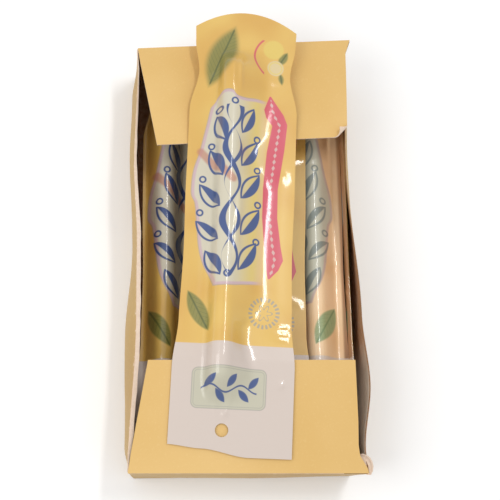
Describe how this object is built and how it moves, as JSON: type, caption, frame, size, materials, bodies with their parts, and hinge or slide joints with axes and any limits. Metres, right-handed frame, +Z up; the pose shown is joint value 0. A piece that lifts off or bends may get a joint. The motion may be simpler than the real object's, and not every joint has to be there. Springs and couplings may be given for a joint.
{
  "type": "display carton of wrapped miswak sticks",
  "caption": "Open card display carton lying on its back, end flaps over a pile of film-wrapped miswak chewing sticks, with a wrapped stick laid across the flaps.",
  "frame": {"origin": "centre of the back panel's underside, where the carton lies on a table", "axes": "+Y along the carton to its upper end, +X to its right-hand wall, +Z up through its open top"},
  "size_m": [0.1175, 0.2309, 0.0585],
  "materials": {
    "card": "thin card, printed yellow outside, plain brown-grey inside, bare cream at the cut edges",
    "film_face": "glossy wrinkled film, printed yellow with a coral band, an ivory panel and a plain white tail",
    "film_back": "glossy wrinkled film, the printed design's paler reverse",
    "stick": "dry brown root bark"
  },
  "bodies": {
    "root": {"carton_tray": "card", "upper_flap": "card", "lower_flap": "card", "front_sachet_face": "film_face", "front_sachet_back": "film_back", "front_stick": "stick", "top_sachet_face": "film_face", "top_sachet_back": "film_back", "top_stick": "stick", "middle_sachet_face": "film_face", "middle_sachet_back": "film_back", "middle_stick": "stick", "left_sachet_face": "film_face", "left_sachet_back": "film_back", "left_stick": "stick", "lower_left_sachet_face": "film_face", "lower_left_sachet_back": "film_back", "lower_left_stick": "stick", "right_sachet_face": "film_face", "right_sachet_back": "film_back", "right_stick": "stick", "lower_right_sachet_face": "film_face", "lower_right_sachet_back": "film_back", "lower_right_stick": "stick"}
  },
  "joints": []
}
